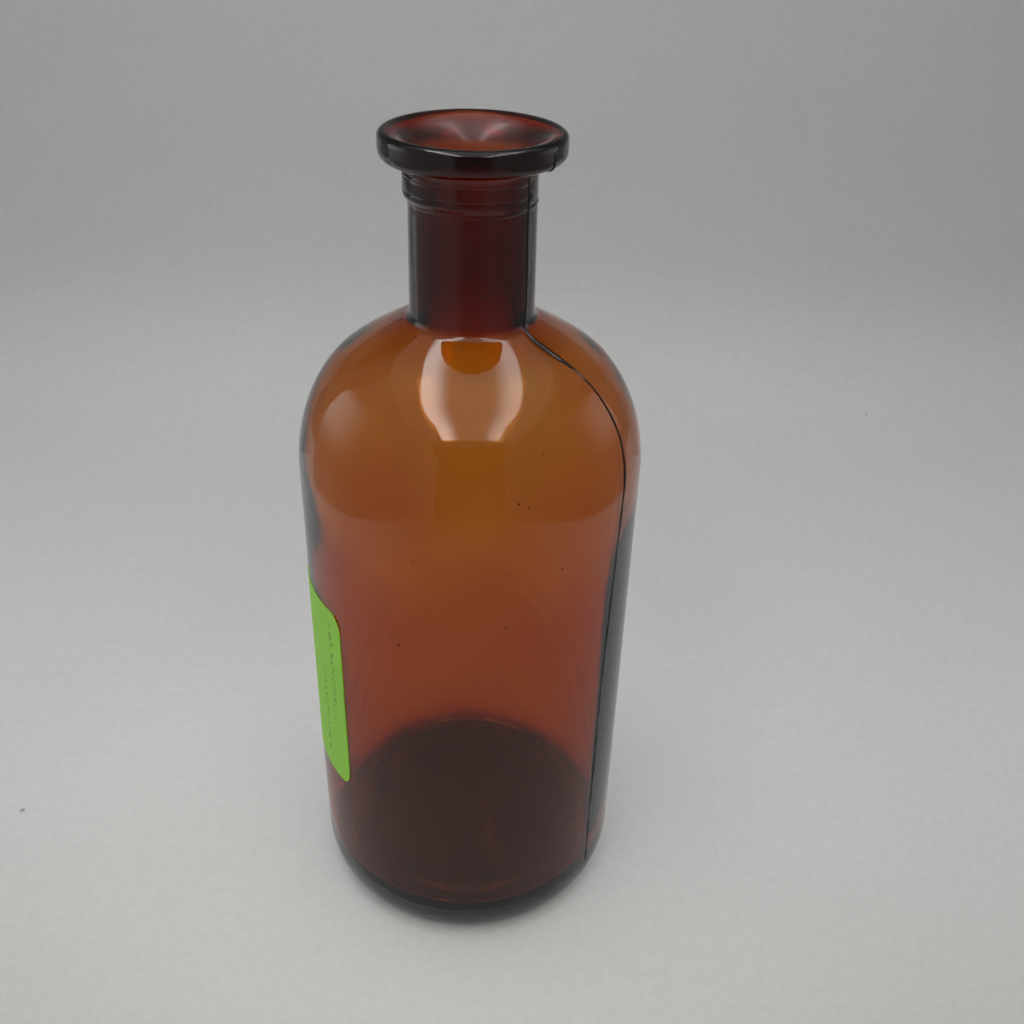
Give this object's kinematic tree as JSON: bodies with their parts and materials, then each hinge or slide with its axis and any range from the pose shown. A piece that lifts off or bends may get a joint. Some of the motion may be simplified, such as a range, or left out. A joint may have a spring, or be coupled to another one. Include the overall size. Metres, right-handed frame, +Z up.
{
  "type": "reagent bottle",
  "caption": "Round amber moulded-glass reagent bottle with domed shoulder, straight narrow neck, flared flanged lip and a small green sticker.",
  "frame": {"origin": "centre of the base, on the surface that the bottle stands on", "axes": "+Z up along the bottle's axis to the mouth; -Y is the front; the sticker is on the left, towards -X, and the two mould seams are at -36 and 144 degrees round +Z from +X"},
  "size_m": [0.0761, 0.076, 0.19],
  "materials": {
    "amber_glass": "glossy moulded amber glass, slightly wavy, with seeds",
    "green_sticker": "satin fluorescent paper"
  },
  "bodies": {
    "root": {"bottle": "amber_glass", "label": "green_sticker"}
  },
  "joints": []
}
